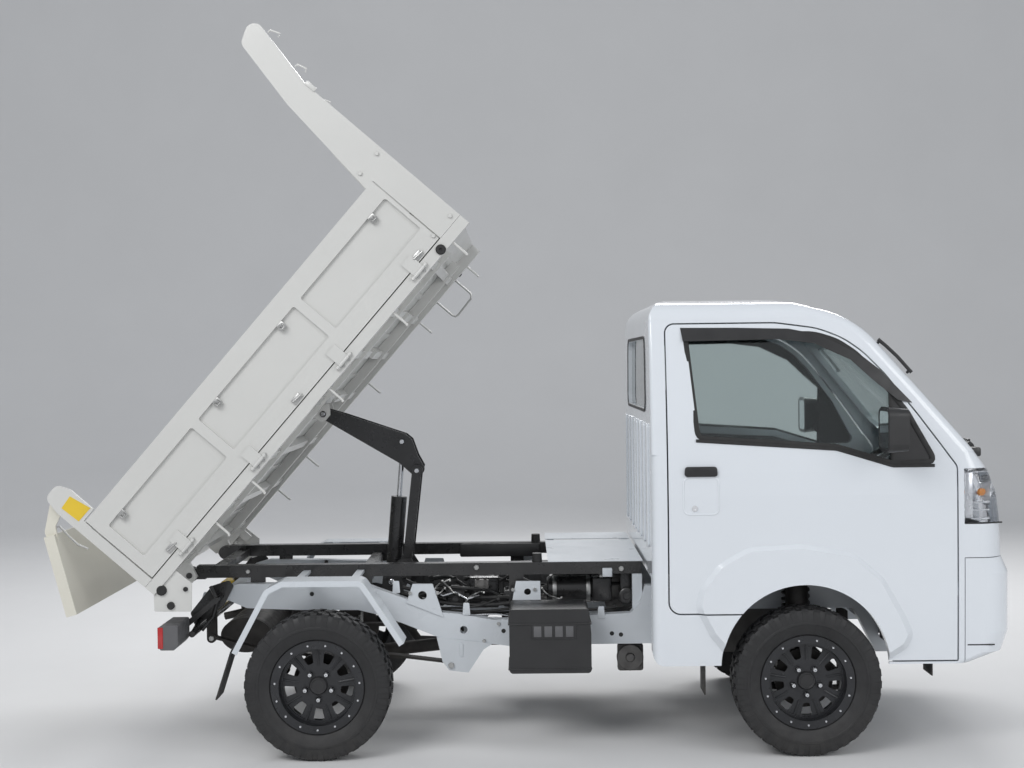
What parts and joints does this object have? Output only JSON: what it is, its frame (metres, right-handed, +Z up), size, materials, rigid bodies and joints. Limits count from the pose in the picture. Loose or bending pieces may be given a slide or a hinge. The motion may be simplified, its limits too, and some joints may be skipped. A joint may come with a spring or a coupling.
{
  "type": "dump truck",
  "caption": "Small cab-over dump truck with a tipping bed raised on a scissor hoist, its top-hung tailgate hanging open; steered front wheels, hinged doors and drop sides.",
  "frame": {"origin": "centre of the bounding box's bottom, on the ground", "axes": "+X towards the front of the truck, +Y to its left, +Z up"},
  "size_m": [3.7867, 1.78, 2.8527],
  "materials": {
    "white_paint": "clean glossy white paint",
    "black_paint": "clean satin black chassis paint",
    "cream_paint": "clean cream white paint",
    "dark_steel": "dull dark steel",
    "cast_metal": "bare cast metal",
    "black_plastic": "matte black plastic",
    "grey_plastic": "matte grey plastic",
    "black_rubber": "black rubber",
    "tyre_rubber": "black tyre rubber",
    "wheel_black": "satin black alloy",
    "chrome_rod": "polished piston rod",
    "seat_cloth": "grey seat cloth",
    "glass": "lightly tinted glass",
    "clear_lens": "clear lamp lens",
    "red_lens": "red lamp lens"
  },
  "bodies": {
    "chassis": {"chassis_frame": "white_paint", "hoist_subframe": "black_paint", "bed_stops": "black_rubber", "rear_axle": "dark_steel", "leaf_springs": "dark_steel", "front_suspension": "dark_steel", "engine_block": "cast_metal", "propeller_shaft": "dark_steel", "fuel_tank": "dark_steel", "battery_box": "black_plastic", "muffler": "dark_steel", "rear_fenders": "white_paint", "mud_flaps": "black_rubber", "tail_lamps": "red_lens", "cab_shell": "white_paint", "front_bumper": "white_paint", "headlamps": "clear_lens", "windscreen": "glass", "rear_window": "glass", "dashboard": "grey_plastic", "steering_wheel": "black_plastic", "seats": "seat_cloth", "wheelhouses": "dark_steel"},
    "door_right": {"door_right": "white_paint", "door_glass_right": "glass", "mirror_right": "black_plastic"},
    "door_left": {"door_left": "white_paint", "door_glass_left": "glass", "mirror_left": "black_plastic"},
    "knuckle_right": {"knuckle_right": "dark_steel"},
    "knuckle_left": {"knuckle_left": "dark_steel"},
    "wheel_front_right": {"tyre_front_right": "tyre_rubber", "rim_front_right": "wheel_black"},
    "wheel_front_left": {"tyre_front_left": "tyre_rubber", "rim_front_left": "wheel_black"},
    "wheel_rear_right": {"tyre_rear_right": "tyre_rubber", "rim_rear_right": "wheel_black"},
    "wheel_rear_left": {"tyre_rear_left": "tyre_rubber", "rim_rear_left": "wheel_black"},
    "bed": {"bed_floor": "white_paint", "bed_underframe": "white_paint", "bed_headboard": "white_paint", "bed_rear_posts": "white_paint"},
    "side_gate_right": {"side_gate_right": "white_paint"},
    "side_gate_left": {"side_gate_left": "white_paint"},
    "tailgate": {"tailgate": "cream_paint"},
    "lift_arm": {"lift_arm": "black_paint"},
    "tension_link": {"tension_link": "black_paint"},
    "cylinder_barrel": {"cylinder_barrel": "black_paint"},
    "cylinder_rod": {"cylinder_rod": "chrome_rod"}
  },
  "joints": [
    {"name": "wheel_front_right_spin", "type": "hinge", "parent": "knuckle_right", "child": "wheel_front_right", "pos_m": [1.05701, -0.6525, 0.287], "axis": [0, 1, 0], "continuous": true},
    {"name": "wheel_front_left_spin", "type": "hinge", "parent": "knuckle_left", "child": "wheel_front_left", "pos_m": [1.05701, 0.6525, 0.287], "axis": [0, 1, 0], "continuous": true},
    {"name": "wheel_rear_right_spin", "type": "hinge", "parent": "chassis", "child": "wheel_rear_right", "pos_m": [-0.84299, -0.6525, 0.287], "axis": [0, 1, 0], "continuous": true},
    {"name": "wheel_rear_left_spin", "type": "hinge", "parent": "chassis", "child": "wheel_rear_left", "pos_m": [-0.84299, 0.6525, 0.287], "axis": [0, 1, 0], "continuous": true},
    {"name": "steer_right", "type": "hinge", "parent": "chassis", "child": "knuckle_right", "pos_m": [1.05701, -0.585, 0.2], "axis": [0, 0.2261, 0.9741], "range_deg": [-33, 33]},
    {"name": "steer_left", "type": "hinge", "parent": "chassis", "child": "knuckle_left", "pos_m": [1.05701, 0.585, 0.2], "axis": [0, -0.2261, 0.9741], "range_deg": [-33, 33]},
    {"name": "door_right_hinge", "type": "hinge", "parent": "chassis", "child": "door_right", "pos_m": [1.63201, -0.709, 0.9], "axis": [0, 0, 1], "range_deg": [0, 60]},
    {"name": "door_left_hinge", "type": "hinge", "parent": "chassis", "child": "door_left", "pos_m": [1.63201, 0.709, 0.9], "axis": [0, 0, -1], "range_deg": [0, 60]},
    {"name": "dump_hinge", "type": "hinge", "parent": "chassis", "child": "bed", "pos_m": [-1.40899, 0, 0.68], "axis": [0, -1, 0], "range_deg": [-49, 0]},
    {"name": "side_gate_right_hinge", "type": "hinge", "parent": "bed", "child": "side_gate_right", "pos_m": [-0.92263, -0.736, 1.31723], "axis": [0.6561, 0, 0.7547], "range_deg": [0, 175]},
    {"name": "side_gate_left_hinge", "type": "hinge", "parent": "bed", "child": "side_gate_left", "pos_m": [-0.92263, 0.736, 1.31723], "axis": [-0.6561, 0, -0.7547], "range_deg": [0, 175]},
    {"name": "tailgate_hinge", "type": "hinge", "parent": "bed", "child": "tailgate", "pos_m": [-1.83667, 0, 1.03853], "axis": [0, 1, 0], "range_deg": [-34, 56]},
    {"name": "lift_arm_pin", "type": "hinge", "parent": "bed", "child": "lift_arm", "pos_m": [-0.89599, 0, 1.325], "axis": [0, -1, 0], "range_deg": [0, 66.14]},
    {"name": "tension_link_pin", "type": "hinge", "parent": "chassis", "child": "tension_link", "pos_m": [-0.54299, 0, 0.66], "axis": [0, -1, 0], "range_deg": [-92.28, 0]},
    {"name": "cylinder_foot_pin", "type": "hinge", "parent": "chassis", "child": "cylinder_barrel", "pos_m": [-0.60799, 0, 0.6], "axis": [0, -1, 0], "range_deg": [-70.83, 0]},
    {"name": "cylinder_stroke", "type": "slide", "parent": "cylinder_barrel", "child": "cylinder_rod", "axis": [0.0844, 0, 0.9964], "range_m": [-0.2098, 0]}
  ],
  "couplings": [
    {"joint": "steer_left", "follows": "steer_right", "ratio": 1},
    {"joint": "lift_arm_pin", "follows": "dump_hinge", "ratio": -1.3488},
    {"joint": "tension_link_pin", "follows": "dump_hinge", "ratio": 1.8823},
    {"joint": "cylinder_foot_pin", "follows": "dump_hinge", "ratio": 1.4445},
    {"joint": "cylinder_stroke", "follows": "dump_hinge", "m_per_rad": 0.2447}
  ]
}
